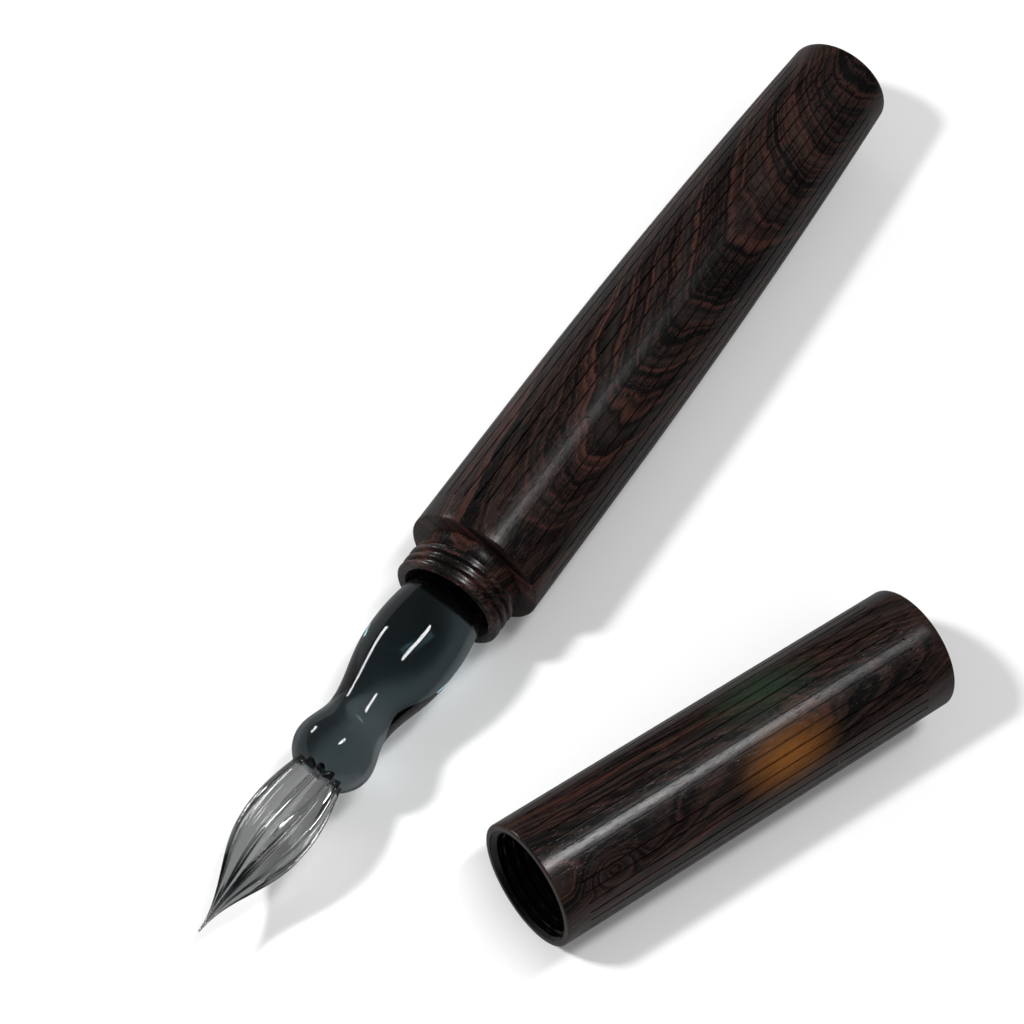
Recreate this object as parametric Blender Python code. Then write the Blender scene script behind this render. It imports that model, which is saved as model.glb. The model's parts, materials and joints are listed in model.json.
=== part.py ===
"""Glass dip pen with a turned ebony barrel and a screw cap, the cap lying beside it.

Frame: metres, +Z up, standing surface at z = 0.  The pen lies along X with its nib
towards +X.  The cap lies on the +Y side with its mouth towards +X.  The origin is the
middle of the whole layout's footprint.

Every turned piece is drawn in pen coordinates: x along the axis, 0 at the barrel's
shoulder, positive towards the nib.  The cap is drawn as if it were screwed home, and
then laid down beside the pen.
"""

from math import cos, pi, radians, sin, sqrt, tan

import bmesh
import bpy
from mathutils import Matrix, Vector

MM = 0.001

# ---- driving dimensions, in millimetres ------------------------------------------

# barrel
BARREL_LENGTH = 73.1
BARREL_RADIUS = 7.2
TAIL_RADIUS = 5.7
STRAIGHT_LENGTH = 20.0       # cylindrical stretch behind the shoulder
TAPER_POWER = 1.9            # how the taper curves from there to the tail
EDGE_CHAMFER = 0.2

# saw-cut lines along the barrel and the cap
GROOVE_COUNT = 35
GROOVE_START = -2.3          # degrees from the top to the first line
GROOVE_WIDTH = 0.2
GROOVE_DEPTH = 0.3
SHOULDER_MARGIN = 3.0        # plain wood left at each end of the lines
TAIL_MARGIN = 3.7
CAP_MOUTH_MARGIN = 2.6
CAP_END_MARGIN = 3.5

# threaded collar, glued into the barrel
TENON_LENGTH = 4.8           # what stands out of the barrel
SHOULDER_STEP = 1.4
THREAD_RADIUS = BARREL_RADIUS - SHOULDER_STEP
THREAD_DEPTH = 0.5
THREAD_PITCH = 1.05
NECK_RADIUS = THREAD_RADIUS - THREAD_DEPTH
NECK_LENGTH = 1.4            # plain part next to the shoulder
SHANK_STEP = 0.3
SHANK_RADIUS = NECK_RADIUS - SHANK_STEP
SOCKET_DEPTH = 14.8          # from the tenon's front face
SOCKET_END_WALL = 1.5
SHANK_LENGTH = SOCKET_DEPTH - TENON_LENGTH + SOCKET_END_WALL
SOCKET_WALL = 1.05
SOCKET_RADIUS = SHANK_RADIUS - SOCKET_WALL
COUNTERSINK_WIDTH = 0.9
COUNTERSINK_RADIUS = SOCKET_RADIUS + COUNTERSINK_WIDTH
COUNTERSINK_DEPTH = 1.6

# glass
STEM_CLEARANCE = 0.35        # to the socket's wall, bridged by the rubber rings
STEM_RADIUS = SOCKET_RADIUS - STEM_CLEARANCE
STEM_OUT = 2.6               # where the stem begins to swell into the grip
GRIP_SWELL = 1.15
GRIP_RADIUS = STEM_RADIUS + GRIP_SWELL
GRIP_X = 10.2
WAIST_RADIUS = 3.25
WAIST_X = 20.0
BALL_RADIUS = 4.1
BALL_X = 24.0
BALL_HALF_LENGTH = 3.65
NIB_START = 26.5
NIB_ROOT_RADIUS = 2.6
NIB_RADIUS = 3.65
NIB_WIDEST_X = 32.8
NIB_TIP_X = 45.5
NIB_TIP_RADIUS = 0.12
FLUTE_COUNT = 12
FLUTE_DEPTH = 0.09           # share of the radius
FLUTE_TWIST = 25.0           # degrees from root to tip

# rubber rings that hold the glass stem in its socket
RING_GROOVE_DEPTH = 0.5
RING_GROOVE_RADIUS = STEM_RADIUS - RING_GROOVE_DEPTH
RING_GROOVE_WIDTH = 1.0
RING_FROM_STEM_END = (2.6, 7.6)

# cap
CAP_STEP = 0.65              # the cap is a little slimmer than the barrel
CAP_RADIUS = BARREL_RADIUS - CAP_STEP
CAP_END_WALL = 1.6
NIB_TIP_SPACE = 0.9          # from the nib's tip to the bore's end, cap screwed on
CAP_LENGTH = NIB_TIP_X + NIB_TIP_SPACE + CAP_END_WALL
GRIP_CLEARANCE = 0.45
CAP_BORE_RADIUS = GRIP_RADIUS + GRIP_CLEARANCE
CAP_LEAD_IN = 0.5            # depth of the chamfer inside the rim
CAP_THREAD_END = 4.3
CAP_RELIEF_END = 5.2

# layout: where the cap's mouth lies, and how far the cap is turned
CAP_MOUTH_X = 23.4
CAP_MOUTH_Y = 21.95          # from the pen's axis
CAP_TURN = 158.0             # degrees from screwed-on direction
SWING_TIP_GAP = 2.5          # nib tip to mouth when the cap has swung in line

# clearances
GLUE_GAP = 0.05              # between pieces that are glued or fused
SEAT_GAP = 0.05              # stem end to the socket's bottom
THREAD_GAP = 0.08            # between the two threads
RING_GAP = 0.02              # rubber ring to groove and to socket

# mesh fineness
WOOD_SIDES = 48
THREAD_SIDES = 40
GLASS_SIDES = 32
RING_SIDES = 28
RING_TUBE_SIDES = 6
ROWS_PER_PITCH = 6


# ---- materials -------------------------------------------------------------------

def make_material(name, colour, roughness, metallic=0.0, transmission=0.0):
    material = bpy.data.materials.new(name)
    material.use_nodes = True
    shader = material.node_tree.nodes["Principled BSDF"]
    shader.inputs["Base Color"].default_value = (*colour, 1.0)
    shader.inputs["Roughness"].default_value = roughness
    shader.inputs["Metallic"].default_value = metallic
    shader.inputs["Transmission Weight"].default_value = transmission
    material.diffuse_color = (*colour, 1.0)
    return material


# ---- shape helpers ---------------------------------------------------------------

def turned_mesh(profile, sides):
    """Turn a profile of (x, radius) points, which begins and ends on the axis."""
    bm = bmesh.new()
    points = [bm.verts.new((x * MM, 0.0, radius * MM)) for x, radius in profile]
    edges = [bm.edges.new(pair) for pair in zip(points, points[1:])]
    bmesh.ops.spin(
        bm, geom=points + edges, cent=(0, 0, 0), axis=(1, 0, 0),
        angle=2 * pi, steps=sides, use_merge=True,
    )
    bmesh.ops.remove_doubles(bm, verts=bm.verts, dist=1e-7)
    bmesh.ops.recalc_face_normals(bm, faces=bm.faces)
    return bm


def reshape(bm, radius_at):
    """Set each point's radius to radius_at(x, angle, radius), all in millimetres."""
    for vert in bm.verts:
        radius = sqrt(vert.co.y ** 2 + vert.co.z ** 2) / MM
        if radius < 1e-4:
            continue
        side = Vector((0.0, vert.co.y, vert.co.z)).normalized()
        angle = Vector((0.0, 1.0, 0.0)).angle(side)
        if side.z < 0:
            angle = 2 * pi - angle
        new_radius = radius_at(vert.co.x / MM, angle, radius)
        vert.co = Vector((vert.co.x, 0.0, 0.0)) + side * new_radius * MM


def add_object(name, bm, material, parent, location=(0, 0, 0)):
    """Make one node from a bmesh; its origin goes to its parent's place."""
    mesh = bpy.data.meshes.new(name)
    bm.to_mesh(mesh)
    bm.free()
    mesh.materials.append(material)
    mesh.shade_smooth()
    mesh.set_sharp_from_angle(angle=radians(30))
    node = bpy.data.objects.new(name, mesh)
    node.location = [value * MM for value in location]
    node.parent = parent
    bpy.context.collection.objects.link(node)
    return node


def add_empty(name, location, turn=0.0, parent=None):
    empty = bpy.data.objects.new(name, None)
    empty.location = [value * MM for value in location]
    empty.rotation_euler = (0.0, 0.0, radians(turn))
    empty.empty_display_size = 10 * MM
    empty.parent = parent
    bpy.context.collection.objects.link(empty)
    return empty


def steps(start, end, count):
    """Evenly spaced values from start to end, both included."""
    return [start + (end - start) * i / count for i in range(count + 1)]


# ---- the two threads -------------------------------------------------------------

def ridge_height(x, angle):
    """Right-hand thread form: 1 on the ridge, 0 in the groove."""
    turn = x / THREAD_PITCH - angle / (2 * pi)
    return min(1.0, max(0.0, 0.5 + 0.75 * cos(2 * pi * turn)))


def thread_radius(x, angle):
    """The tenon's thread: ridges rise from the neck and end in the front rim."""
    rise = min(1.0, max(0.0, (x - NECK_LENGTH) / (0.4 * THREAD_PITCH)))
    rim = min(1.0, max(0.0, (x - TENON_LENGTH + 0.5 * THREAD_PITCH) / (0.3 * THREAD_PITCH)))
    height = max(ridge_height(x, angle) * rise, rim)
    root = THREAD_RADIUS - THREAD_DEPTH
    return root + THREAD_DEPTH * height


def cap_thread_radius(x, angle):
    """The tenon's full form, moved outwards by the clearance, behind a chamfer."""
    root = THREAD_RADIUS - THREAD_DEPTH
    form = root + THREAD_DEPTH * ridge_height(x, angle) + THREAD_GAP
    chamfer = THREAD_RADIUS + THREAD_GAP - THREAD_DEPTH * x / CAP_LEAD_IN
    return max(form, chamfer)


def thread_rows(start, end):
    count = max(2, round((end - start) / THREAD_PITCH * ROWS_PER_PITCH))
    return steps(start, end, count)


# ---- saw-cut lines ---------------------------------------------------------------

def saw_cuts(name, outline, parent):
    """Thin fins that follow an outline of (x, radius) points, one for each line."""
    bm = bmesh.new()
    half = GROOVE_WIDTH / 2 * MM
    for index in range(GROOVE_COUNT):
        lower = [(x * MM, (radius - GROOVE_DEPTH) * MM) for x, radius in outline]
        upper = [(x * MM, (radius + 1.0) * MM) for x, radius in reversed(outline)]
        loop = [bm.verts.new((x, -half, z)) for x, z in lower + upper]
        face = bm.faces.new(loop)
        grown = bmesh.ops.extrude_face_region(bm, geom=[face])
        moved = [item for item in grown["geom"] if isinstance(item, bmesh.types.BMVert)]
        bmesh.ops.translate(bm, verts=moved, vec=(0.0, 2 * half, 0.0))
        angle = radians(GROOVE_START) + 2 * pi * index / GROOVE_COUNT
        turn = Matrix.Rotation(angle, 3, "X")
        bmesh.ops.rotate(bm, verts=loop + moved, cent=(0, 0, 0), matrix=turn)
    bmesh.ops.recalc_face_normals(bm, faces=bm.faces)
    mesh = bpy.data.meshes.new(name)
    bm.to_mesh(mesh)
    bm.free()
    cutter = bpy.data.objects.new(name, mesh)
    cutter.parent = parent
    cutter.hide_render = True
    cutter.display_type = "WIRE"
    bpy.context.collection.objects.link(cutter)
    return cutter


def cut_lines(node, cutter):
    saw = node.modifiers.new("saw_cuts", "BOOLEAN")
    saw.operation = "DIFFERENCE"
    saw.solver = "EXACT"
    saw.object = cutter


# ---- wooden pieces ---------------------------------------------------------------

def barrel_radius_at(x):
    """Cylindrical behind the shoulder, then a curve that falls faster to the tail."""
    taper_length = BARREL_LENGTH - STRAIGHT_LENGTH
    share = max(0.0, -x - STRAIGHT_LENGTH) / taper_length
    return BARREL_RADIUS - (BARREL_RADIUS - TAIL_RADIUS) * share ** TAPER_POWER


def make_barrel(parent, material):
    bore_radius = SHANK_RADIUS + GLUE_GAP
    bore_depth = SHANK_LENGTH + GLUE_GAP
    taper = steps(-BARREL_LENGTH + EDGE_CHAMFER, -STRAIGHT_LENGTH, 7)
    profile = [(-BARREL_LENGTH, 0.0), (-BARREL_LENGTH, TAIL_RADIUS - EDGE_CHAMFER)]
    profile += [(x, barrel_radius_at(x)) for x in taper]
    profile += [(-EDGE_CHAMFER, BARREL_RADIUS), (0.0, BARREL_RADIUS - EDGE_CHAMFER)]
    profile += [(0.0, bore_radius), (-bore_depth, bore_radius), (-bore_depth, 0.0)]
    barrel = add_object("barrel", turned_mesh(profile, WOOD_SIDES), material, parent)

    lines = steps(-BARREL_LENGTH + TAIL_MARGIN, -STRAIGHT_LENGTH, 5)
    outline = [(x, barrel_radius_at(x)) for x in lines + [-SHOULDER_MARGIN]]
    cut_lines(barrel, saw_cuts("barrel_saw", outline, parent))
    return barrel


def make_collar(parent, material):
    front = TENON_LENGTH
    socket_end = front - SOCKET_DEPTH
    profile = [(-SHANK_LENGTH, 0.0), (-SHANK_LENGTH, SHANK_RADIUS), (GLUE_GAP, SHANK_RADIUS)]
    profile += [(GLUE_GAP, NECK_RADIUS)]
    profile += [(x, NECK_RADIUS) for x in thread_rows(NECK_LENGTH, front - EDGE_CHAMFER)]
    profile += [(front, THREAD_RADIUS - EDGE_CHAMFER), (front, COUNTERSINK_RADIUS)]
    profile += [(front - COUNTERSINK_DEPTH, SOCKET_RADIUS)]
    profile += [(socket_end, SOCKET_RADIUS), (socket_end, 0.0)]
    bm = turned_mesh(profile, THREAD_SIDES)

    def radius_at(x, angle, radius):
        on_thread = NECK_LENGTH - 0.01 < x < front - EDGE_CHAMFER + 0.01
        if on_thread and radius > NECK_RADIUS - 0.01:
            return thread_radius(x, angle)
        return radius

    reshape(bm, radius_at)
    return add_object("threaded_collar", bm, material, parent)


def make_cap(parent, material):
    """The cap, with its mouth at x = 0 and its closed end towards +X."""
    end = CAP_LENGTH
    bottom = CAP_LENGTH - CAP_END_WALL
    relief_radius = THREAD_RADIUS + THREAD_GAP
    profile = [(end, 0.0), (end, CAP_RADIUS - EDGE_CHAMFER), (end - EDGE_CHAMFER, CAP_RADIUS)]
    profile += [(EDGE_CHAMFER, CAP_RADIUS), (0.0, CAP_RADIUS - EDGE_CHAMFER)]
    profile += [(x, relief_radius) for x in thread_rows(0.0, CAP_THREAD_END)]
    profile += [(CAP_THREAD_END + 0.1, relief_radius), (CAP_RELIEF_END, relief_radius)]
    profile += [(CAP_RELIEF_END + 0.2, CAP_BORE_RADIUS), (bottom, CAP_BORE_RADIUS)]
    profile += [(bottom, 0.0)]
    bm = turned_mesh(profile, THREAD_SIDES)

    def radius_at(x, angle, radius):
        if x < CAP_THREAD_END + 0.05 and radius < relief_radius + 0.01:
            return cap_thread_radius(x, angle)
        return radius

    reshape(bm, radius_at)
    cap = add_object("cap", bm, material, parent)
    outline = [(CAP_MOUTH_MARGIN, CAP_RADIUS), (end - CAP_END_MARGIN, CAP_RADIUS)]
    cut_lines(cap, saw_cuts("cap_saw", outline, parent))
    return cap


# ---- glass -----------------------------------------------------------------------

def glass_radius_at(x):
    """Stem, grip, waist and ball, as one lampworked outline."""
    if x <= STEM_OUT:
        return STEM_RADIUS
    if x <= GRIP_X:
        share = (x - STEM_OUT) / (GRIP_X - STEM_OUT)
        return STEM_RADIUS + (GRIP_RADIUS - STEM_RADIUS) * sin(pi / 2 * share)
    if x <= WAIST_X:
        share = ((x - GRIP_X) / (WAIST_X - GRIP_X)) ** 1.25
        middle = (GRIP_RADIUS + WAIST_RADIUS) / 2
        return middle + (GRIP_RADIUS - WAIST_RADIUS) / 2 * cos(pi * share)
    if x <= BALL_X:
        share = (x - WAIST_X) / (BALL_X - WAIST_X)
        middle = (BALL_RADIUS + WAIST_RADIUS) / 2
        return middle - (BALL_RADIUS - WAIST_RADIUS) / 2 * cos(pi * share)
    share = min(1.0, (x - BALL_X) / BALL_HALF_LENGTH)
    return BALL_RADIUS * sqrt(1 - share ** 2)


def nib_radius_at(x):
    """The nib's outline over its ridges: a bud that draws out to a point."""
    if x <= NIB_WIDEST_X:
        share = (x - NIB_START) / (NIB_WIDEST_X - NIB_START)
        return NIB_ROOT_RADIUS + (NIB_RADIUS - NIB_ROOT_RADIUS) * sin(pi / 2 * share)
    share = (x - NIB_WIDEST_X) / (NIB_TIP_X - NIB_WIDEST_X)
    bud = 0.5 * (1 + cos(pi * share ** 1.1))
    return NIB_TIP_RADIUS + (NIB_RADIUS - NIB_TIP_RADIUS) * bud


def stem_end():
    return TENON_LENGTH - SOCKET_DEPTH + SEAT_GAP


def ring_positions():
    return [stem_end() + distance for distance in RING_FROM_STEM_END]


def make_glass_holder(parent, material):
    start = stem_end()
    profile = [(start, 0.0), (start, STEM_RADIUS - EDGE_CHAMFER), (start + EDGE_CHAMFER, STEM_RADIUS)]
    half = RING_GROOVE_WIDTH / 2
    for x in ring_positions():
        profile += [(x - half, STEM_RADIUS), (x - half, RING_GROOVE_RADIUS)]
        profile += [(x + half, RING_GROOVE_RADIUS), (x + half, STEM_RADIUS)]
    ball_end = NIB_START - GLUE_GAP
    rows = steps(STEM_OUT, GRIP_X, 5) + steps(GRIP_X, WAIST_X, 7)[1:]
    rows += steps(WAIST_X, BALL_X, 4)[1:] + steps(BALL_X, ball_end, 4)[1:]
    profile += [(x, glass_radius_at(x)) for x in rows]
    profile += [(ball_end, 0.0)]
    return add_object("glass_holder", turned_mesh(profile, GLASS_SIDES), material, parent)


def make_glass_nib(parent, material):
    tip = NIB_TIP_X
    rows = steps(NIB_START, NIB_WIDEST_X, 4) + steps(NIB_WIDEST_X, tip, 10)[1:]
    profile = [(NIB_START, 0.0)] + [(x, nib_radius_at(x)) for x in rows] + [(tip, 0.0)]
    bm = turned_mesh(profile, 4 * FLUTE_COUNT)

    def radius_at(_x, angle, radius):
        lobe = abs(cos(FLUTE_COUNT / 2 * angle))
        return radius * (1 - FLUTE_DEPTH * (1 - lobe))

    reshape(bm, radius_at)
    for vert in bm.verts:
        share = (vert.co.x / MM - NIB_START) / (tip - NIB_START)
        turn = Matrix.Rotation(radians(FLUTE_TWIST) * share, 3, "X")
        vert.co = turn @ vert.co
    return add_object("glass_nib", bm, material, parent)


def make_ring(name, x, parent, material):
    """A rubber ring that fills its groove and reaches the socket's wall, with its own
    flat sides clear of the groove and the socket's flat sides clear of it."""
    inner = (RING_GROOVE_RADIUS + RING_GAP) / cos(pi / RING_SIDES)
    outer = SOCKET_RADIUS * cos(pi / THREAD_SIDES) - RING_GAP
    tube = (outer - inner) / 2
    centre = inner + tube
    bm = bmesh.new()
    loop = []
    for index in range(RING_TUBE_SIDES):
        angle = 2 * pi * index / RING_TUBE_SIDES
        place = ((x + tube * sin(angle)) * MM, 0.0, (centre + tube * cos(angle)) * MM)
        loop.append(bm.verts.new(place))
    edges = [bm.edges.new((loop[i - 1], loop[i])) for i in range(RING_TUBE_SIDES)]
    bmesh.ops.spin(
        bm, geom=loop + edges, cent=(0, 0, 0), axis=(1, 0, 0),
        angle=2 * pi, steps=RING_SIDES, use_merge=True,
    )
    bmesh.ops.remove_doubles(bm, verts=bm.verts, dist=1e-7)
    bmesh.ops.recalc_face_normals(bm, faces=bm.faces)
    return add_object(name, bm, material, parent)


# ---- layout ----------------------------------------------------------------------

def layout():
    """The shoulder's place, the cap mouth's place and the swing's vertical axis."""
    far_y = CAP_MOUTH_Y + CAP_LENGTH * sin(radians(CAP_TURN))
    far_y += CAP_RADIUS * abs(cos(radians(CAP_TURN)))
    shoulder = Vector(((BARREL_LENGTH - NIB_TIP_X) / 2, (BARREL_RADIUS - far_y) / 2))
    mouth = shoulder + Vector((CAP_MOUTH_X, CAP_MOUTH_Y))
    in_line = shoulder + Vector((NIB_TIP_X + SWING_TIP_GAP, 0.0))
    across = in_line - mouth
    side = Vector((across.y, -across.x))
    pivot = (mouth + in_line) / 2 + side / (2 * tan(radians(CAP_TURN) / 2))
    return shoulder, mouth, pivot


def build():
    for item in list(bpy.data.objects):
        bpy.data.objects.remove(item, do_unlink=True)

    ebony = make_material("ebony_barrel", (0.035, 0.018, 0.013), 0.42)
    collar_ebony = make_material("ebony_collar", (0.05, 0.02, 0.014), 0.35)
    cap_ebony = make_material("ebony_cap", (0.045, 0.026, 0.017), 0.38)
    smoke = make_material("smoke_glass", (0.16, 0.20, 0.21), 0.03, transmission=0.9)
    clear = make_material("clear_glass", (0.75, 0.78, 0.78), 0.03, transmission=0.95)
    rubber = make_material("ring_rubber", (0.02, 0.02, 0.02), 0.7)

    shoulder, mouth, pivot = layout()
    pen_axis = (shoulder.x, shoulder.y, BARREL_RADIUS)
    pen = add_empty("pen_axis", pen_axis)
    make_barrel(pen, ebony)
    make_collar(pen, collar_ebony)

    glass = add_empty("glass_unit_slide", (0, 0, 0), parent=pen)
    make_glass_holder(glass, smoke)
    make_glass_nib(glass, clear)
    for name, x in zip(("ring_rear", "ring_front"), ring_positions()):
        make_ring(name, x, glass, rubber)

    swing = add_empty("cap_swing", (pivot.x, pivot.y, 0.0))
    offset = mouth - pivot
    lying = add_empty("cap_axis", (offset.x, offset.y, CAP_RADIUS), CAP_TURN, swing)
    make_cap(lying, cap_ebony)

    bpy.context.view_layer.update()
    print("shoulder (mm)", tuple(round(value, 3) for value in pen_axis))
    print("cap mouth (mm)", round(mouth.x, 3), round(mouth.y, 3), CAP_RADIUS)
    print("cap swing axis (mm)", round(pivot.x, 3), round(pivot.y, 3))


build()
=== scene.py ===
# %% [markdown]
# # A glass dip pen in ebony
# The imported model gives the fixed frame: where each part is, how big it is and which
# body it moves with. Everything below only makes it look like the real thing: turned
# and saw-cut ebony, a cut screw thread, solid smoke glass and a clear twisted nib.

# %% Load the fixed frame
import json
from math import atan2, cos, pi, radians, sin

import bpy
import numpy as np
from mathutils import Matrix, Quaternion, Vector


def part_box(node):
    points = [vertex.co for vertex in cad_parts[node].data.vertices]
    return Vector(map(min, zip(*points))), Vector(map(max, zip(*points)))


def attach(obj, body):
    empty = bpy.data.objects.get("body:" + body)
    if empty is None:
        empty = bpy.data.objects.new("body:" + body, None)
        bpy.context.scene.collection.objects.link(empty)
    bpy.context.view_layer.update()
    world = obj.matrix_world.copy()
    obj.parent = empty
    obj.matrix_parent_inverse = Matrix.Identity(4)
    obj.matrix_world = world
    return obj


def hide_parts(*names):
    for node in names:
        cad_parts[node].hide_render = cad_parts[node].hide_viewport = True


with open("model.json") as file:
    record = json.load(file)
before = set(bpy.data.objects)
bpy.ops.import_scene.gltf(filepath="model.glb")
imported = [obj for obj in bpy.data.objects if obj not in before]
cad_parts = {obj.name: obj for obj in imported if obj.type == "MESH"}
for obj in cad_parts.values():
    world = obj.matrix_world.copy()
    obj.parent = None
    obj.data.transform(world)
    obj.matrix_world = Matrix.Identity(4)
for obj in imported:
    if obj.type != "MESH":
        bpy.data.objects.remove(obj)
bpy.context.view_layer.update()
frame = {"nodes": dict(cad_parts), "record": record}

MM = 0.001

# %% [markdown]
# ## Two axes
# A turned part is easiest to think of along its own axis. The pen's axis starts at the
# barrel's shoulder and runs to the nib. The cap's axis starts at its mouth and runs to
# its closed end, so the cap can be drawn as if it were screwed on. The frame says where
# both axes are: the barrel's box gives the first, the flat end of the cap the second.

# %% Find the axes of the pen and of the cap
CAP_LENGTH = 48.0
barrel_low, barrel_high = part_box("barrel")
shoulder = Vector((barrel_high.x, (barrel_low.y + barrel_high.y) / 2,
                   (barrel_low.z + barrel_high.z) / 2))
cap_end = next(m for m in frame["record"]["mounts"] if m["name"] == "cap_end_face")
cap_along = Vector(cap_end["axis"]).normalized()
cap_mouth = Vector(cap_end["pos_m"]) - cap_along * CAP_LENGTH * MM


class Axis:
    """A turning axis: a start, a direction, and two directions across it."""

    def __init__(self, start, along):
        self.start = np.array(start)
        self.along = np.array(along)
        self.up = np.array((0.0, 0.0, 1.0))
        self.side = np.cross(self.up, self.along)
        self.turn = atan2(self.along[1], self.along[0])

    def place(self, x, radius, angle):
        """start + along x + (side cos(angle) + up sin(angle)) radius, in metres."""
        across = np.cos(angle)[..., None] * self.side + np.sin(angle)[..., None] * self.up
        return self.start + MM * (x[..., None] * self.along + radius[..., None] * across)


pen_axis = Axis(shoulder, (1.0, 0.0, 0.0))
cap_axis = Axis(cap_mouth, cap_along)
print("shoulder", tuple(shoulder), "cap mouth", tuple(cap_mouth), "cap turn", cap_axis.turn)

# %% [markdown]
# ## A skin from a grid
# Every piece here is one closed skin: rings of points around an axis, a single point
# where the skin meets the axis. It could be made with Spin or a Screw modifier, but a
# saw-cut or a thread then needs a Boolean. On a grid they are only a change of radius.

# %% Turn a grid of rings into a mesh
def closed_skin(name, axis, x, radius, angle):
    """A skin over rings: x (rows, 1 or columns) and radius (rows, columns) in
    millimetres, angle (columns). The first and last rows are single points on the axis.
    Rows that run along the axis face outwards, rows that run back face the axis."""
    rows, columns = radius.shape
    x = np.broadcast_to(x, radius.shape)
    points = axis.place(x, radius, np.broadcast_to(angle, radius.shape))
    rings = points[1:-1].reshape(-1, 3)
    first, last = points[0].mean(axis=0), points[-1].mean(axis=0)
    corners = np.vstack([rings, first, last]).astype(np.float32)
    index = np.arange(len(rings)).reshape(rows - 2, columns)
    after = np.roll(index, -1, axis=1)
    quads = np.stack([index[:-1], after[:-1], after[1:], index[1:]], axis=-1).reshape(-1, 4)
    start_fan = np.stack([np.full(columns, len(rings)), after[0], index[0]], axis=-1)
    end_fan = np.stack([np.full(columns, len(rings) + 1), index[-1], after[-1]], axis=-1)
    fans = np.vstack([start_fan, end_fan])

    mesh = bpy.data.meshes.new(name)
    mesh.vertices.add(len(corners))
    mesh.vertices.foreach_set("co", corners.ravel())
    loops = np.concatenate([quads.ravel(), fans.ravel()]).astype(np.int32)
    mesh.loops.add(len(loops))
    mesh.loops.foreach_set("vertex_index", loops)
    starts = np.concatenate([4 * np.arange(len(quads)),
                             4 * len(quads) + 3 * np.arange(len(fans))])
    mesh.polygons.add(len(starts))
    mesh.polygons.foreach_set("loop_start", starts.astype(np.int32))
    mesh.update(calc_edges=True)
    mesh.validate()
    mesh.shade_smooth()
    piece = bpy.data.objects.new(name, mesh)
    bpy.context.scene.collection.objects.link(piece)
    print(name, "has", 2 * len(quads) + len(fans), "triangles")
    return piece


def trace(points, spacing):
    """A polyline of (x, radius) points, filled in so that no step is over spacing."""
    points = np.array(points, float)
    filled = [points[:1]]
    for start, end in zip(points, points[1:]):
        count = max(1, int(np.ceil(np.hypot(*(end - start)) / spacing)))
        share = np.arange(1, count + 1)[:, None] / count
        filled.append(start + (end - start) * share)
    return np.vstack(filled)


def rounded(corner, before, after, size, count=5):
    """A corner eased by a quarter turn: from size before the corner to size after it,
    corner + size (before (1 - sin t) + after (1 - cos t)), t from 0 to a right angle."""
    t = np.linspace(0, pi / 2, count)[:, None]
    corner, before, after = np.array(corner), np.array(before), np.array(after)
    return list(map(tuple, corner + size * (before * (1 - np.sin(t)) + after * (1 - np.cos(t)))))


def smooth_step(low, high, value):
    """0 below low, 1 above high, and 3t^2 - 2t^3 between."""
    t = np.clip((value - low) / (high - low), 0, 1)
    return t * t * (3 - 2 * t)


# %% [markdown]
# ## Saw-cut lines
# Fine lines run along barrel and cap, cut with a thin saw at equal angles. They stop a
# few millimetres before each end. A column of points lies on each edge and on the floor
# of each cut, so the cuts stay crisp although the land between them has few columns.

# %% Lay out the saw cuts
CUT_COUNT = 35
CUT_START = radians(87.7)
CUT_WIDTH = 0.2
CUT_DEPTH = 0.3
CUT_RUNOUT = 0.12
CUT_FLOOR_SHARE = 0.7
CUT_PITCH = 2 * pi / CUT_COUNT
LAND_COLUMNS = 5


def cut_columns(radius):
    """Angles of the columns around a part of that radius, dense at every cut."""
    edge = CUT_WIDTH / 2 / radius
    near = edge * np.array([-1.25, -1.0, -CUT_FLOOR_SHARE, 0.0, CUT_FLOOR_SHARE, 1.0, 1.25])
    land = np.linspace(near[-1], CUT_PITCH + near[0], LAND_COLUMNS + 2)[1:-1]
    one = np.concatenate([near, land])
    starts = CUT_START + np.arange(CUT_COUNT) * CUT_PITCH
    return (starts[:, None] + one).ravel()


def cut_depth(x, angle, radius, start, end):
    """Depth of the cuts at x (column) and angle (row): CUT_DEPTH over the floor of a
    cut, easing to 0 at its two edges and at both ends of the line."""
    turn = (angle - CUT_START) / CUT_PITCH
    away = np.abs(turn - np.round(turn)) * CUT_PITCH * radius
    across = 1 - smooth_step(CUT_FLOOR_SHARE * CUT_WIDTH / 2, CUT_WIDTH / 2, away)
    along = smooth_step(start, start + CUT_RUNOUT, x) * (1 - smooth_step(end - CUT_RUNOUT, end, x))
    return CUT_DEPTH * along * across


# %% [markdown]
# ## The barrel
# The barrel is turned: straight behind the shoulder, then a curve that falls faster and
# faster towards the tail. Its outer skin carries the saw cuts. The bore is there too,
# because the collar's shank sits in it.

# %% Make the barrel
BARREL_LENGTH = 73.1
BARREL_RADIUS = 7.2
TAIL_RADIUS = 5.7
STRAIGHT_LENGTH = 20.0
TAPER_POWER = 1.9
EDGE = 0.2
SHANK_RADIUS = 5.0
SHANK_LENGTH = 11.5
GLUE_GAP = 0.05
SHOULDER_MARGIN = 3.0
TAIL_MARGIN = 3.7


def barrel_outline(x):
    """BARREL_RADIUS, less the taper: (share of the tapered length)^TAPER_POWER."""
    share = np.clip((-x - STRAIGHT_LENGTH) / (BARREL_LENGTH - STRAIGHT_LENGTH), 0, 1)
    return BARREL_RADIUS - (BARREL_RADIUS - TAIL_RADIUS) * share ** TAPER_POWER


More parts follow.
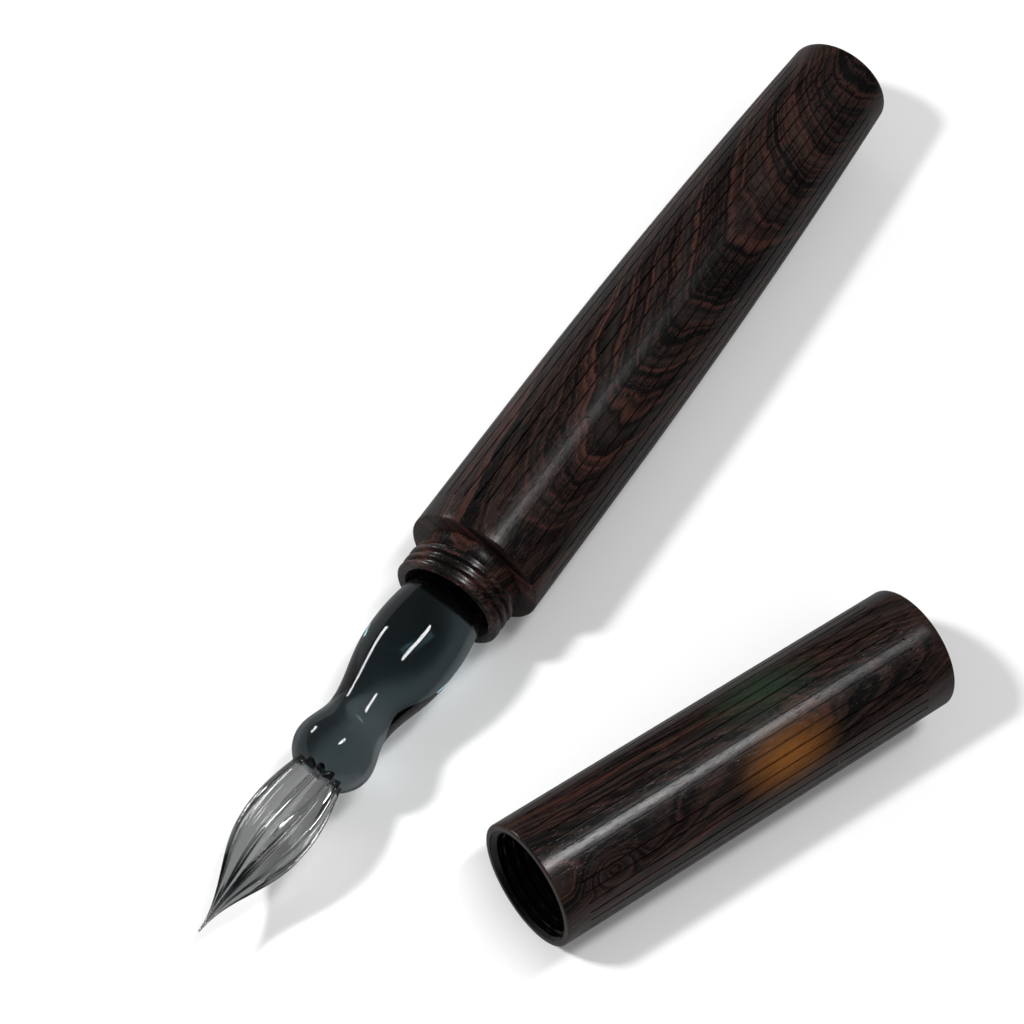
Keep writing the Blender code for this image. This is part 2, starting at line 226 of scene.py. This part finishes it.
def make_barrel():
    """Rows over the tail face, along the tapered side, around the front edge and into
    the bore; radius = outline - cut depth on the side."""
    tail = -BARREL_LENGTH
    bore = SHANK_RADIUS + GLUE_GAP
    bore_end = -SHANK_LENGTH - GLUE_GAP
    face = trace([(tail, 0.0), (tail, TAIL_RADIUS - EDGE)], 0.8)
    start, end = tail + TAIL_MARGIN, -SHOULDER_MARGIN
    side_x = np.unique(np.concatenate([
        np.linspace(tail + EDGE, -EDGE, 90),
        np.linspace(start, start + CUT_RUNOUT, 4),
        np.linspace(end - CUT_RUNOUT, end, 4),
    ]))
    side = np.stack([side_x, barrel_outline(side_x)], axis=-1)
    tail_edge = rounded((tail, TAIL_RADIUS), (0, -1), (1, 0), EDGE)[1:-1]
    front_edge = rounded((0, BARREL_RADIUS), (-1, 0), (0, -1), EDGE)[1:]
    inside = trace([(0, BARREL_RADIUS - EDGE), (0, bore), (bore_end, bore), (bore_end, 0)], 1.2)[1:]
    profile = np.vstack([face, tail_edge, side, front_edge, inside])
    x, outline = profile[:, :1], profile[:, 1:]
    angle = cut_columns(BARREL_RADIUS)
    on_side = outline > bore + EDGE
    radius = outline - cut_depth(x, angle, BARREL_RADIUS, start, end) * on_side
    return closed_skin("barrel_wood", pen_axis, x, radius, angle)


barrel = make_barrel()

# %% [markdown]
# ## The screw thread
# A thread is a ridge that climbs one pitch in each turn. On a grid it is a height that
# depends on x / pitch - angle / full turn. The collar's ridges rise out of the plain
# neck and end in the front rim. The cap's thread is the same form, a little larger.

# %% Give the thread its form
THREAD_RADIUS = 5.8
THREAD_DEPTH = 0.5
THREAD_PITCH = 1.05
THREAD_GAP = 0.08
NECK_RADIUS = 5.3
NECK_LENGTH = 1.4
TENON_LENGTH = 4.8


def ridge(x, angle):
    """0.5 + 0.75 cos(2 pi turn), clipped to 0..1 and eased: flat-topped, right-handed."""
    turn = x / THREAD_PITCH - angle / (2 * pi)
    return smooth_step(0, 1, 0.5 + 0.75 * np.cos(2 * pi * turn))


def tenon_radius(x, angle):
    """Root radius plus the ridge, which rises after the neck and runs into the rim."""
    rise = smooth_step(NECK_LENGTH, NECK_LENGTH + 0.4 * THREAD_PITCH, x)
    rim = smooth_step(TENON_LENGTH - 0.5 * THREAD_PITCH, TENON_LENGTH - 0.25 * THREAD_PITCH, x)
    return THREAD_RADIUS - THREAD_DEPTH * (1 - np.maximum(ridge(x, angle) * rise, rim))


# %% [markdown]
# ## The threaded collar
# The collar is a bush of the same wood. Its shank is glued into the barrel, its front
# is the tenon, and the glass stem sits in its socket, behind a wide countersink.

# %% Make the collar
SOCKET_RADIUS = 3.95
SOCKET_DEPTH = 14.8
COUNTERSINK_RADIUS = 4.85
COUNTERSINK_DEPTH = 1.6
COUNTERSINK_EDGE = 0.08
COUNTERSINK_INSET = 0.05
COLLAR_COLUMNS = 240


def make_collar():
    """Rows along the shank and the neck, over the thread and back down the socket;
    radius = tenon_radius on the thread, the outline elsewhere."""
    front = TENON_LENGTH
    socket_end = front - SOCKET_DEPTH
    shank = trace([(-SHANK_LENGTH, 0.0), (-SHANK_LENGTH, SHANK_RADIUS),
                   (GLUE_GAP, SHANK_RADIUS), (GLUE_GAP, NECK_RADIUS),
                   (NECK_LENGTH, NECK_RADIUS)], 1.0)
    rows = np.linspace(NECK_LENGTH, front - EDGE, 64)[1:]
    thread = np.stack([rows, np.full_like(rows, THREAD_RADIUS)], axis=-1)
    rim = rounded((front, THREAD_RADIUS), (-1, 0), (0, -1), EDGE)[1:]
    lip = COUNTERSINK_RADIUS - COUNTERSINK_INSET
    sink = rounded((front, lip), (0, 1), (-1, 0), COUNTERSINK_EDGE)
    inside = trace([(front - COUNTERSINK_EDGE, lip),
                    (front - COUNTERSINK_DEPTH, SOCKET_RADIUS),
                    (socket_end, SOCKET_RADIUS), (socket_end, 0)], 0.6)[1:]
    profile = np.vstack([shank, thread, rim, sink, inside])
    x, outline = profile[:, :1], profile[:, 1:]
    angle = np.linspace(0, 2 * pi, COLLAR_COLUMNS + 1)[:-1]
    threaded = (outline >= THREAD_RADIUS - 0.001) & (x <= front - EDGE + 0.001)
    radius = np.where(threaded, tenon_radius(x, angle), outline)
    return closed_skin("collar_wood", pen_axis, x, radius, angle)


collar = make_collar()

# %% [markdown]
# ## The cap
# The cap is drawn along its own axis, mouth first. Starting at the bottom of the bore,
# its skin runs out past the inside thread to the mouth, around the rim, back along the
# saw-cut outside and over the closed end.

# %% Make the cap
CAP_RADIUS = 6.55
CAP_END_WALL = 1.6
CAP_BORE_RADIUS = 5.2
CAP_LEAD_IN = 0.5
CAP_THREAD_END = 4.3
CAP_RELIEF_END = 5.2
CAP_MOUTH_MARGIN = 2.6
CAP_END_MARGIN = 3.5


def cap_thread_radius(x, angle):
    """The tenon's full form moved outwards, behind a chamfer inside the rim."""
    form = THREAD_RADIUS - THREAD_DEPTH * (1 - ridge(x, angle)) + THREAD_GAP
    return np.maximum(form, THREAD_RADIUS + THREAD_GAP - THREAD_DEPTH * x / CAP_LEAD_IN)


def make_cap():
    """Rows from the bottom of the bore to the mouth, back along the side and over the
    end; radius = cap_thread_radius on the thread, outline - cut depth on the side."""
    bottom = CAP_LENGTH - CAP_END_WALL
    relief = THREAD_RADIUS + THREAD_GAP
    bore = trace([(bottom, 0.0), (bottom, CAP_BORE_RADIUS),
                  (CAP_RELIEF_END + 0.2, CAP_BORE_RADIUS)], 2.5)
    rows = np.linspace(CAP_THREAD_END, 0, 62)
    thread = np.stack([rows, np.full_like(rows, relief)], axis=-1)
    face = [(0, (relief + CAP_RADIUS - EDGE) / 2)]
    rim = rounded((0, CAP_RADIUS), (0, -1), (1, 0), EDGE)
    start, end = CAP_MOUTH_MARGIN, CAP_LENGTH - CAP_END_MARGIN
    side_x = np.unique(np.concatenate([
        np.linspace(EDGE, CAP_LENGTH - EDGE, 50)[1:-1],
        np.linspace(start, start + CUT_RUNOUT, 4),
        np.linspace(end - CUT_RUNOUT, end, 4),
    ]))
    side = np.stack([side_x, np.full_like(side_x, CAP_RADIUS)], axis=-1)
    back = rounded((CAP_LENGTH, CAP_RADIUS), (-1, 0), (0, -1), EDGE)
    end_face = trace([(CAP_LENGTH, CAP_RADIUS - EDGE), (CAP_LENGTH, 0)], 0.9)[1:]
    relief_row = [(CAP_RELIEF_END, relief), (CAP_THREAD_END + 0.1, relief)]
    profile = np.vstack([bore, relief_row, thread, face, rim, side, back, end_face])
    x, outline = profile[:, :1], profile[:, 1:]
    angle = cut_columns(CAP_RADIUS)
    row = np.arange(len(profile))[:, None]
    first = len(bore) + len(relief_row)
    threaded = (row >= first) & (row < first + len(thread))
    outside = row > first + len(thread)
    radius = np.where(threaded, cap_thread_radius(x, angle), outline)
    radius = radius - cut_depth(x, angle, CAP_RADIUS, start, end) * outside
    return closed_skin("cap_wood", cap_axis, x, radius, angle)


cap = make_cap()

# %% [markdown]
# ## The glass holder
# Grip, waist and ball are one rod of smoke glass, worked in the flame. Its outline is
# a few eased curves, so light runs over it without a kink. The stem behind it has two
# grooves for the rubber rings.

# %% Make the glass holder
STEM_RADIUS = 3.6
STEM_OUT = 2.6
GRIP_RADIUS = 4.75
GRIP_X = 10.2
WAIST_RADIUS = 3.25
WAIST_X = 20.0
WAIST_POWER = 1.25
BALL_RADIUS = 4.1
BALL_X = 24.0
BALL_HALF_LENGTH = 3.65
SEAT_GAP = 0.05
RING_GROOVE_RADIUS = 3.1
RING_GROOVE_WIDTH = 1.0
RING_GROOVE_SLOPE = 0.1
RING_FROM_STEM_END = (2.6, 7.6)
HOLDER_COLUMNS = 128


def holder_outline(x):
    """A quarter sine up to the grip, then half cosines to the waist and to the ball."""
    grip = STEM_RADIUS + (GRIP_RADIUS - STEM_RADIUS) * np.sin(
        pi / 2 * np.clip((x - STEM_OUT) / (GRIP_X - STEM_OUT), 0, 1))
    share = np.clip((x - GRIP_X) / (WAIST_X - GRIP_X), 0, 1) ** WAIST_POWER
    waist = (GRIP_RADIUS + WAIST_RADIUS) / 2 + (GRIP_RADIUS - WAIST_RADIUS) / 2 * np.cos(pi * share)
    share = np.clip((x - WAIST_X) / (BALL_X - WAIST_X), 0, 1)
    ball = (BALL_RADIUS + WAIST_RADIUS) / 2 - (BALL_RADIUS - WAIST_RADIUS) / 2 * np.cos(pi * share)
    return np.select([x <= GRIP_X, x <= WAIST_X], [grip, waist], ball)


def make_holder():
    """Rows along the grooved stem, then holder_outline, then the ball's ellipse to its
    pole: x = half length sin(t), radius = ball radius cos(t)."""
    start = TENON_LENGTH - SOCKET_DEPTH + SEAT_GAP
    half = RING_GROOVE_WIDTH / 2
    stem = [(start, 0.0), (start, STEM_RADIUS - EDGE), (start + EDGE, STEM_RADIUS)]
    for distance in RING_FROM_STEM_END:
        centre = start + distance
        back, front = centre - half, centre + half
        stem += [(back, STEM_RADIUS), (back + RING_GROOVE_SLOPE, RING_GROOVE_RADIUS)]
        stem += [(front - RING_GROOVE_SLOPE, RING_GROOVE_RADIUS), (front, STEM_RADIUS)]
    stem = trace(stem + [(STEM_OUT, STEM_RADIUS)], 0.5)
    body_x = np.linspace(STEM_OUT, BALL_X, 120)[1:]
    turn = np.linspace(0, pi / 2, 26)[1:]
    front_x = BALL_X + BALL_HALF_LENGTH * np.sin(turn)
    x = np.concatenate([stem[:, 0], body_x, front_x])[:, None]
    outline = np.concatenate([stem[:, 1], holder_outline(body_x), BALL_RADIUS * np.cos(turn)])[:, None]
    angle = np.linspace(0, 2 * pi, HOLDER_COLUMNS + 1)[:-1]
    return closed_skin("holder_glass", pen_axis, x, outline * np.ones_like(angle), angle)


holder = make_holder()

# %% [markdown]
# ## The fluted nib
# The nib is a clear rod with deep flutes, twisted while it is drawn out to a point. The
# flutes hold the ink. Across, it is a ring of rounded ridges with sharp valleys, which
# is what |cos| gives. Its root sinks into the ball, so the ridges end in scallops there.

# %% Make the nib
NIB_START = 26.5
NIB_ROOT_RADIUS = 2.6
NIB_RADIUS = 3.65
NIB_WIDEST_X = 32.8
NIB_TIP_X = 45.5
NIB_TIP_RADIUS = 0.12
FLUTE_COUNT = 12
FLUTE_DEPTH_ROOT = 0.34
FLUTE_DEPTH_TIP = 0.20
FLUTE_TWIST = radians(25.0)
FLUTE_COLUMNS = 20
NIB_ROOT_X = 26.35
NIB_POINT_POWER = 1.1


def nib_outline(x):
    """A quarter sine out to the widest place, then half a cosine in to the point."""
    out = np.sin(pi / 2 * np.minimum((x - NIB_START) / (NIB_WIDEST_X - NIB_START), 1))
    share = np.clip((x - NIB_WIDEST_X) / (NIB_TIP_X - NIB_WIDEST_X), 0, 1)
    bud = 0.5 * (1 + np.cos(pi * share ** NIB_POINT_POWER))
    root = NIB_ROOT_RADIUS + (NIB_RADIUS - NIB_ROOT_RADIUS) * out
    point = NIB_TIP_RADIUS + (NIB_RADIUS - NIB_TIP_RADIUS) * bud
    return np.where(x <= NIB_WIDEST_X, root, point)


def make_nib():
    """radius = outline (1 - depth (1 - |cos(half the flute count x angle)|)), and every
    ring is turned by the twist times its share of the way to the tip."""
    body_x = np.concatenate([
        np.linspace(NIB_ROOT_X, NIB_WIDEST_X, 70),
        np.linspace(NIB_WIDEST_X, NIB_TIP_X, 110)[1:],
    ])
    outline = nib_outline(body_x)
    x = np.concatenate([[NIB_ROOT_X], body_x, [NIB_TIP_X]])[:, None]
    outline = np.concatenate([[0.0], outline, [0.0]])[:, None]
    angle = np.linspace(0, 2 * pi, FLUTE_COLUMNS * FLUTE_COUNT + 1)[:-1]
    share = np.clip((x - NIB_START) / (NIB_TIP_X - NIB_START), 0, 1)
    depth = FLUTE_DEPTH_ROOT + (FLUTE_DEPTH_TIP - FLUTE_DEPTH_ROOT) * np.sqrt(share)
    ridge_shape = np.abs(np.cos(FLUTE_COUNT / 2 * angle))
    radius = outline * (1 - depth * (1 - ridge_shape))
    return closed_skin("nib_glass", pen_axis, x, radius, angle + FLUTE_TWIST * share)


nib = make_nib()

# %% [markdown]
# ## Writing shader maths as Python
# A material is a graph, but its maths reads better as a formula. A Wire is one socket;
# adding or multiplying wires adds the Math nodes. A Finish makes every other node with
# one method and mixes colours with Mix nodes.

# %% A small language for materials
BUMP_HEIGHT = 0.02 * MM
BUMP_STRENGTH = 0.5


class Wire:
    """One output socket, with the usual operators."""

    def __init__(self, finish, socket):
        self.finish = finish
        self.socket = socket

    def maths(self, operation, first, second):
        return self.finish.node("ShaderNodeMath", {"operation": operation}, {0: first, 1: second})

    def __add__(self, other):
        return self.maths("ADD", self, other)

    def __radd__(self, other):
        return self.maths("ADD", other, self)

    def __sub__(self, other):
        return self.maths("SUBTRACT", self, other)

    def __rsub__(self, other):
        return self.maths("SUBTRACT", other, self)

    def __mul__(self, other):
        return self.maths("MULTIPLY", self, other)

    def __rmul__(self, other):
        return self.maths("MULTIPLY", other, self)


class Finish:
    """A material under construction, with its Principled shader as .shader."""

    def __init__(self, name):
        self.material = bpy.data.materials.new(name)
        self.material.use_nodes = True
        self.tree = self.material.node_tree
        self.shader = self.tree.nodes["Principled BSDF"]

    def plug(self, socket, value):
        """Link a wire to a socket, or write a constant into it."""
        if isinstance(value, Wire):
            self.tree.links.new(value.socket, socket)
        else:
            socket.default_value = value

    def node(self, kind, settings=None, inputs=None, out=0):
        """Add any node, with its settings and inputs, and give back one output."""
        made = self.tree.nodes.new(kind)
        for key, value in (settings or {}).items():
            setattr(made, key, value)
        for key, value in (inputs or {}).items():
            self.plug(made.inputs[key], value)
        return Wire(self, made.outputs[out])

    def set(self, **values):
        """Fill sockets of the Principled shader, named with _ for a space."""
        for key, value in values.items():
            self.plug(self.shader.inputs[key.replace("_", " ")], value)

    def blend(self, share, first, second):
        """first where share is 0, second where it is 1, as colours."""
        return self.node("ShaderNodeMix", {"data_type": "RGBA"}, {0: share, 6: first, 7: second}, out=2)

    def ease(self, value, low, high):
        """0 below low, 1 above high, smooth between."""
        return self.node("ShaderNodeMapRange", {"interpolation_type": "SMOOTHSTEP"},
                         {"Value": value, "From Min": low, "From Max": high})

    def grain_space(self, axis):
        """Object coordinates in millimetres along an axis: x along it, y and z across."""
        turn = Matrix.Rotation(-axis.turn, 3, "Z")
        start = turn @ Vector(axis.start) / MM
        object_space = self.node("ShaderNodeTexCoord", out="Object")
        return self.node("ShaderNodeMapping", {"vector_type": "POINT"}, {
            "Vector": object_space, "Location": -start,
            "Rotation": (0.0, 0.0, -axis.turn), "Scale": (1 / MM, 1 / MM, 1 / MM)})

    def stretched(self, space, scale):
        """Coordinates multiplied by a scale of their own along each axis."""
        return self.node("ShaderNodeVectorMath", {"operation": "MULTIPLY"}, {0: space, 1: scale})

    def noise(self, space, scale, detail=3.0, roughness=0.55, distortion=0.0):
        """Noise with its own scale along each axis, about 0..1."""
        return self.node("ShaderNodeTexNoise", None, {
            "Vector": self.stretched(space, scale), "Scale": 1.0, "Detail": detail,
            "Roughness": roughness, "Distortion": distortion})

    def line_noise(self, place, detail, roughness):
        """Noise along a line: one number in, about 0..1 out."""
        return self.node("ShaderNodeTexNoise", {"noise_dimensions": "1D"}, {
            "W": place, "Scale": 1.0, "Detail": detail, "Roughness": roughness})

    def along(self, space, direction):
        """The distance along a direction: a dot product."""
        return self.node("ShaderNodeVectorMath", {"operation": "DOT_PRODUCT"},
                         {0: space, 1: direction}, out="Value")

    def bump(self, height):
        """A normal for height 0..1, which stands for BUMP_HEIGHT metres."""
        return self.node("ShaderNodeBump", None, {
            "Height": height, "Distance": BUMP_HEIGHT, "Strength": BUMP_STRENGTH})


# %% [markdown]
# ## Ebony
# Striped ebony is near-black heartwood with red-brown layers. The layers are thin, lie
# at a slant to the axis and bend a little, so a turned part cuts them in long V shapes
# with their points on one line. A layer number for every point of the wood, run through
# one-dimensional noise, gives that: the same number has the same colour everywhere.

# %% Name the colours of the wood
def colour(red, green, blue):
    """Linear red, green and blue, opaque."""
    return (red, green, blue, 1.0)


NEAR_BLACK = colour(0.0036, 0.0031, 0.0031)
# Painted shade: a near-black for the inside of a bore, where light hardly reaches.
BORE_PAINTED_SHADE = colour(0.0015, 0.0013, 0.0015)
DARK_BROWN = colour(0.0165, 0.0092, 0.0076)
RED_BROWN = colour(0.0520, 0.0200, 0.0150)
GREY_BROWN = colour(0.0200, 0.0165, 0.0145)
TAN = colour(0.1300, 0.0720, 0.0480)

# %% Name the sizes of the grain, in waves per millimetre along the axis and across it
SLOW_WAVE = (0.05, 0.14, 0.14)
QUICK_WAVE = (0.15, 0.9, 0.9)
FIBRE = (0.55, 5.5, 5.5)
BLOTCH = (0.10, 0.26, 0.26)
PORE = (0.8, 8.0, 8.0)
FLECK = (2.2, 7.0, 7.0)
TURNING_MARK = (11.0, 0.5, 0.5)
BROAD_LAYER = 0.8
FINE_LAYER = 4.0
GREY_OFFSET = 31.7


# %% Number the layers
def layer_number(wood, space, point, slope, bend):
    """How far along the layers a place is: slope x + bend x^2 - the distance towards
    the side where the Vs point, plus slow and quick waves."""
    x = wood.along(space, (1.0, 0.0, 0.0))
    side = wood.along(space, (0.0, cos(radians(point)), sin(radians(point))))
    slow = wood.noise(space, SLOW_WAVE, 2.0)
    quick = wood.noise(space, QUICK_WAVE, 3.0, 0.6)
    return x * slope + x * x * bend - side + slow * 2.6 + quick * 0.35


def patch(wood, space, centre, reach):
    """1 at a centre, falling to 0 at the ellipsoid whose half-axes are reach."""
    away = wood.node("ShaderNodeVectorMath", {"operation": "SUBTRACT"}, {0: space, 1: centre})
    scaled = wood.node("ShaderNodeVectorMath", {"operation": "DIVIDE"}, {0: away, 1: reach})
    length = wood.node("ShaderNodeVectorMath", {"operation": "LENGTH"}, {0: scaled}, out="Value")
    return 1 - wood.ease(length, 0.0, 1.0)


def axis_distance(wood, space):
    """The distance from the axis: the length of (0, y, z)."""
    across = wood.stretched(space, (0.0, 1.0, 1.0))
    return wood.node("ShaderNodeVectorMath", {"operation": "LENGTH"}, {0: across}, out="Value")


# %% Colour the layers
def layer_colour(wood, number, tone, red):
    """Near-black where tone is low, dark brown between, red-brown where it is high, with
    greyer layers that a second noise of the same layer number picks."""
    body = wood.blend(wood.ease(tone, 0.43, 0.53), NEAR_BLACK, DARK_BROWN)
    body = wood.blend(wood.ease(tone, 0.51, 0.69) * red, body, RED_BROWN)
    grey = wood.ease(wood.line_noise(number * BROAD_LAYER + GREY_OFFSET, 3.0, 0.6), 0.52, 0.66)
    return wood.blend(grey * 0.5, body, GREY_BROWN)


def ebony(name, axis, point, slope, bend, red=1.0, polish=0.4, shine=0.5, coat=0.0, seed=0.0,
          knot=None, patches=(), bore_shade_radius=0.0):
    """Wood whose tone is mostly layers, with some fibre, blotches and turning marks, and
    with pores and tan flecks laid over it. Closer to the axis than the given bore radius,
    the wood of a bore is painted near-black: painted shade for the dark inside of the bore."""
    wood = Finish(name)
    space = wood.grain_space(axis)
    number = layer_number(wood, space, point, slope, bend) + seed
    if knot:
        number = number + patch(wood, space, *knot) * 2.4
    broad = wood.line_noise(number * BROAD_LAYER, 2.0, 0.5)
    fine = wood.line_noise(number * FINE_LAYER, 3.0, 0.5)
    fibre = wood.noise(space, FIBRE, 3.0, 0.6)
    blotch = wood.noise(space, BLOTCH, 3.0, 0.6, 0.5)
    pores = wood.ease(wood.noise(space, PORE, 2.0, 0.5), 0.60, 0.72)
    fleck = wood.noise(space, FLECK, 2.0, 0.6)
    turning = wood.noise(space, TURNING_MARK, 2.0, 0.65)

    tone = fine * 0.52 + broad * 0.48 + (fibre - 0.5) * 0.36 + (turning - 0.5) * 0.10
    tone = tone + (blotch - 0.5) * 0.30
    body = layer_colour(wood, number, tone, red)
    for centre, reach, tint, strength in patches:
        share = patch(wood, space, centre, reach) * (0.55 + fibre * 0.6) * strength
        body = wood.blend(share, body, tint)
    body = wood.blend(pores * 0.75, body, NEAR_BLACK)
    body = wood.blend(wood.ease(fleck, 0.66, 0.80) * 0.45, body, TAN)
    # Painted shade: inside the bore the wood is painted near-black, because the bore lies in shade.
    if bore_shade_radius:
        outside = wood.ease(axis_distance(wood, space), bore_shade_radius - 0.1, bore_shade_radius)
        body = wood.blend(1 - outside, body, BORE_PAINTED_SHADE)
    height = turning * 0.6 + fibre * 0.5 + fleck * 0.25 - pores * 0.9
    wood.set(Base_Color=body, Roughness=polish + (fibre - 0.5) * 0.20 + (turning - 0.5) * 0.10,
             IOR=1.5, Specular_IOR_Level=shine, Coat_Weight=coat, Coat_Roughness=0.12,
             Coat_IOR=1.5, Normal=wood.bump(height))
    return wood


# %% [markdown]
# ## Three pieces of the same wood
# The barrel is oiled, so it shines least. Its layers lean more towards the tail, which
# makes the Vs shorter there. The collar is polished and redder. The cap has almost
# straight grain, a knot near its mouth, and a warm and a greenish patch side by side.

# %% Make the three woods
ORANGE_BROWN = colour(0.190, 0.070, 0.014)
DARK_GREEN = colour(0.020, 0.034, 0.021)
barrel_finish = ebony("barrel_ebony", pen_axis, 72, 0.16, -0.00155, polish=0.25, shine=0.30, seed=4.0)
collar_finish = ebony("collar_ebony", pen_axis, 110, 0.35, 0.0, red=1.2, polish=0.27, coat=0.2, seed=21.0)
# The cap's bore is painted near-black, as painted shade.
cap_finish = ebony(
    "cap_ebony", cap_axis, 100, 0.09, 0.0006, red=0.75, polish=0.235, seed=11.0,
    knot=((6.0, -3.4, 5.6), (5.0, 2.6, 2.6)), bore_shade_radius=6.05,
    patches=(((27.5, -3.4, 5.6), (7.5, 4.4, 4.4), ORANGE_BROWN, 1.0),
             ((29.0, 3.5, 5.5), (8.5, 4.4, 4.4), DARK_GREEN, 0.9)))
print("ebony finishes:", [wood.material.name for wood in (barrel_finish, collar_finish, cap_finish)])

# %% [markdown]
# ## Glass and rubber
# The holder is coloured through its whole body, so its colour comes from absorption
# inside it: thick places are darker. The nib is almost clear. The rings are soft black
# rubber and hardly show.

# %% Build the glass and the rubber finish
GLASS_IOR = 1.50


def glass(name, tint, density):
    """Clear glass around a volume that absorbs; a higher density is darker."""
    body = Finish(name)
    body.set(Base_Color=colour(1.0, 1.0, 1.0), Roughness=0.0, IOR=GLASS_IOR, Transmission_Weight=1.0)
    inside = body.node("ShaderNodeVolumeAbsorption", None, {"Color": tint, "Density": density})
    output = body.tree.nodes["Material Output"]
    body.tree.links.new(inside.socket, output.inputs["Volume"])
    return body


smoke_finish = glass("smoke_glass", colour(0.20, 0.33, 0.365), 255.0)
clear_finish = glass("clear_glass", colour(0.85, 0.89, 0.9), 60.0)

rubber_finish = Finish("ring_rubber")
rubber_space = rubber_finish.grain_space(pen_axis)
rubber_grain = rubber_finish.noise(rubber_space, (9.0, 9.0, 9.0), 3.0)
rubber_finish.set(
    Base_Color=rubber_finish.blend(rubber_grain, colour(0.012, 0.012, 0.012), colour(0.03, 0.03, 0.03)),
    Roughness=0.55 + rubber_grain * 0.2,
    Normal=rubber_finish.bump(rubber_grain))

# %% [markdown]
# ## Put each piece on its body
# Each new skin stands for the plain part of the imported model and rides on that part's
# body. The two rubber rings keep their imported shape.

# %% Ride, replace and paint
SHARP_ANGLE = radians(40)
for piece, finish, body, node, slot in (
    (barrel, barrel_finish, "barrel", "barrel", "barrel_ebony"),
    (collar, collar_finish, "barrel", "threaded_collar", "collar_ebony"),
    (cap, cap_finish, "cap", "cap", "cap_ebony"),
    (holder, smoke_finish, "glass_unit", "glass_holder", "smoke_glass"),
    (nib, clear_finish, "glass_unit", "glass_nib", "clear_glass"),
):
    piece.data.materials.append(finish.material)
    piece.data.set_sharp_from_angle(angle=SHARP_ANGLE)
    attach(piece, body)
    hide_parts(node)
for node in ("ring_front", "ring_rear"):
    ring = frame["nodes"][node]
    ring.data.materials.clear()
    ring.data.materials.append(rubber_finish.material)
print("pieces:", [piece.name for piece in (barrel, collar, cap, holder, nib)])

# %% [markdown]
# ## The table
# The pen lies on a white table, one flat square. Where the table shows in polish or
# through glass it counts as darker, so that dark wood stays dark and glass has edges.

# %% Lay the floor
FLOOR_REACH = 3.0
FLOOR_WHITE = colour(0.93, 0.93, 0.93)
FLOOR_BLACK = colour(0.0, 0.0, 0.0)
FLOOR_DIMMING = 0.74
square = [(-1, -1), (1, -1), (1, 1), (-1, 1)]
floor_mesh = bpy.data.meshes.new("floor")
floor_mesh.from_pydata([(FLOOR_REACH * x, FLOOR_REACH * y, 0.0) for x, y in square], [], [(0, 1, 2, 3)])
floor = bpy.data.objects.new("floor", floor_mesh)
bpy.context.scene.collection.objects.link(floor)
floor_finish = Finish("table_white")
in_polish = floor_finish.node("ShaderNodeLightPath", out="Is Glossy Ray")
floor_finish.set(
    Base_Color=floor_finish.blend(in_polish * FLOOR_DIMMING, FLOOR_WHITE, FLOOR_BLACK),
    Roughness=0.9, Specular_IOR_Level=0.0)
floor_mesh.materials.append(floor_finish.material)

# %% [markdown]
# ## Light
# The key is small and near, so the shadows have clear edges, and it doesn't show in
# polish. The strip overhead draws the streaks on wood and glass. The low light draws
# the thin line along the side of the glass.

# %% Light it
LIGHT_AIM = Vector((25.0, -19.0, 8.0)) * MM


def area_light(name, azimuth, elevation, distance, size, power):
    """A rectangle of light that faces the grip from an azimuth (0 is +X) and elevation,
    in degrees. Its size is its width, then its height."""
    lamp = bpy.data.lights.new(name, "AREA")
    lamp.shape = "RECTANGLE"
    lamp.size, lamp.size_y = size
    lamp.energy = power
    stand = bpy.data.objects.new(name, lamp)
    a, e = radians(azimuth), radians(elevation)
    way = Vector((cos(a) * cos(e), sin(a) * cos(e), sin(e)))
    stand.location = LIGHT_AIM + way * distance
    stand.rotation_euler = way.to_track_quat("Z", "Y").to_euler()
    bpy.context.scene.collection.objects.link(stand)
    return stand


key = area_light("key", -52, 49, 0.40, (0.035, 0.035), 1.15)
key.visible_glossy = False
area_light("overhead_strip", 166, 77.0, 1.0, (0.12, 0.48), 3.4)
area_light("low_light", -98, 9.5, 0.9, (0.30, 0.12), 1.6)

# %% Fill the shadows with a plain sky
SKY_SEEN = 0.03
SKY_FILL = 0.40
world = bpy.data.worlds.new("studio")
world.use_nodes = True
bpy.context.scene.world = world
sky = world.node_tree.nodes["Background"]
sky.inputs["Color"].default_value = (1.0, 1.0, 1.0, 1.0)
rays = world.node_tree.nodes.new("ShaderNodeLightPath")
dimmed = world.node_tree.nodes.new("ShaderNodeMix")
dimmed.inputs[2].default_value = SKY_SEEN
dimmed.inputs[3].default_value = SKY_FILL
world.node_tree.links.new(rays.outputs["Is Diffuse Ray"], dimmed.inputs[0])
world.node_tree.links.new(dimmed.outputs[0], sky.inputs["Strength"])

# %% [markdown]
# ## Camera
# The camera looks down from beyond the nib and is rolled, so that the pen runs from the
# upper right to the lower left. The Standard view keeps the white table white.

# %% Set the camera
CAMERA_TARGET = Vector((2.82, -20.18, 0.0)) * MM
CAMERA_AZIMUTH = radians(8.0)
CAMERA_ELEVATION = radians(63.26)
CAMERA_ROLL = radians(28.13)
CAMERA_DISTANCE = 284.9 * MM
CAMERA_LENS = 98.44
away = Vector((cos(CAMERA_AZIMUTH) * cos(CAMERA_ELEVATION),
               sin(CAMERA_AZIMUTH) * cos(CAMERA_ELEVATION), sin(CAMERA_ELEVATION)))
camera_data = bpy.data.cameras.new("camera")
camera_data.lens = CAMERA_LENS
camera_data.clip_start = 0.01
camera = bpy.data.objects.new("camera", camera_data)
camera.location = CAMERA_TARGET + away * CAMERA_DISTANCE
facing = away.to_track_quat("Z", "Y")
camera.rotation_euler = (facing @ Quaternion((0, 0, 1), CAMERA_ROLL)).to_euler()
bpy.context.scene.collection.objects.link(camera)
bpy.context.scene.camera = camera
bpy.context.scene.view_settings.view_transform = "Standard"
